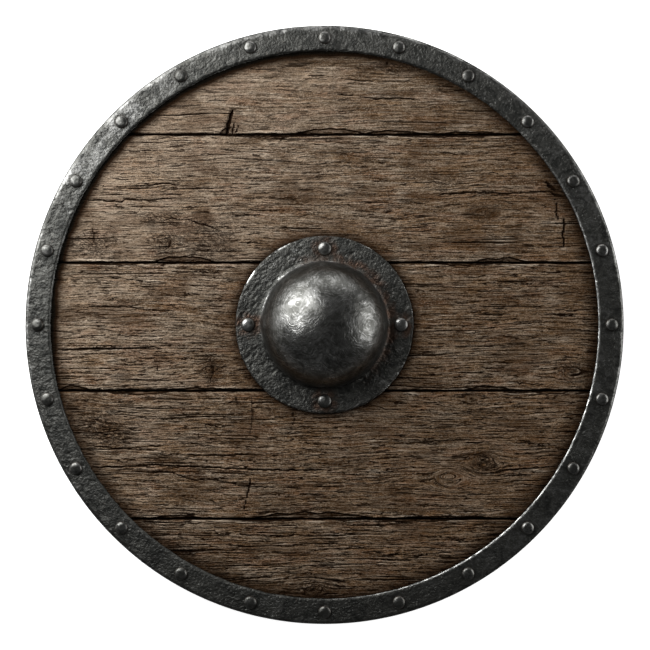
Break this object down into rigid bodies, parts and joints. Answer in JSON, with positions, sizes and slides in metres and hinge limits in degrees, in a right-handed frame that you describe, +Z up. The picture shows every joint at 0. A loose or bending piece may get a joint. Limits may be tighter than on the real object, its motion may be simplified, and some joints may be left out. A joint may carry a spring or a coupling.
{
  "type": "wooden round shield",
  "caption": "Round shield of horizontal oak planks in a riveted iron rim, with a domed iron boss over a hand hole and a wooden grip across its back.",
  "frame": {"origin": "on the ground under the middle of the grip, in line with the boss and the centre of the round", "axes": "the shield lies on its back: +Z up, out through the boss; +X along the planks; +Y across them, towards plank_1, the top plank when it is carried"},
  "size_m": [0.6094, 0.6094, 0.0813],
  "materials": {
    "weathered_oak": "dark, dry and weathered, with open grain and cracks",
    "handled_oak": "worn smooth by the hand",
    "rim_iron": "forged, hammered and dark with age",
    "boss_iron": "forged and hammered, rubbed to a dull shine on the dome",
    "rivet_iron": "forged heads, worn bright on top"
  },
  "bodies": {
    "root": {"plank_1": "weathered_oak", "plank_2": "weathered_oak", "plank_3": "weathered_oak", "plank_4": "weathered_oak", "plank_5": "weathered_oak", "grip": "handled_oak", "rim_band": "rim_iron", "boss": "boss_iron", "rim_rivet_01": "rivet_iron", "rim_rivet_02": "rivet_iron", "rim_rivet_03": "rivet_iron", "rim_rivet_04": "rivet_iron", "rim_rivet_05": "rivet_iron", "rim_rivet_06": "rivet_iron", "rim_rivet_07": "rivet_iron", "rim_rivet_08": "rivet_iron", "rim_rivet_09": "rivet_iron", "rim_rivet_10": "rivet_iron", "rim_rivet_11": "rivet_iron", "rim_rivet_12": "rivet_iron", "rim_rivet_13": "rivet_iron", "rim_rivet_14": "rivet_iron", "rim_rivet_15": "rivet_iron", "rim_rivet_16": "rivet_iron", "rim_rivet_17": "rivet_iron", "rim_rivet_18": "rivet_iron", "rim_rivet_19": "rivet_iron", "rim_rivet_20": "rivet_iron", "rim_rivet_21": "rivet_iron", "rim_rivet_22": "rivet_iron", "rim_rivet_23": "rivet_iron", "rim_rivet_24": "rivet_iron", "boss_rivet_top": "rivet_iron", "boss_rivet_right": "rivet_iron", "boss_rivet_bottom": "rivet_iron", "boss_rivet_left": "rivet_iron"}
  },
  "joints": []
}
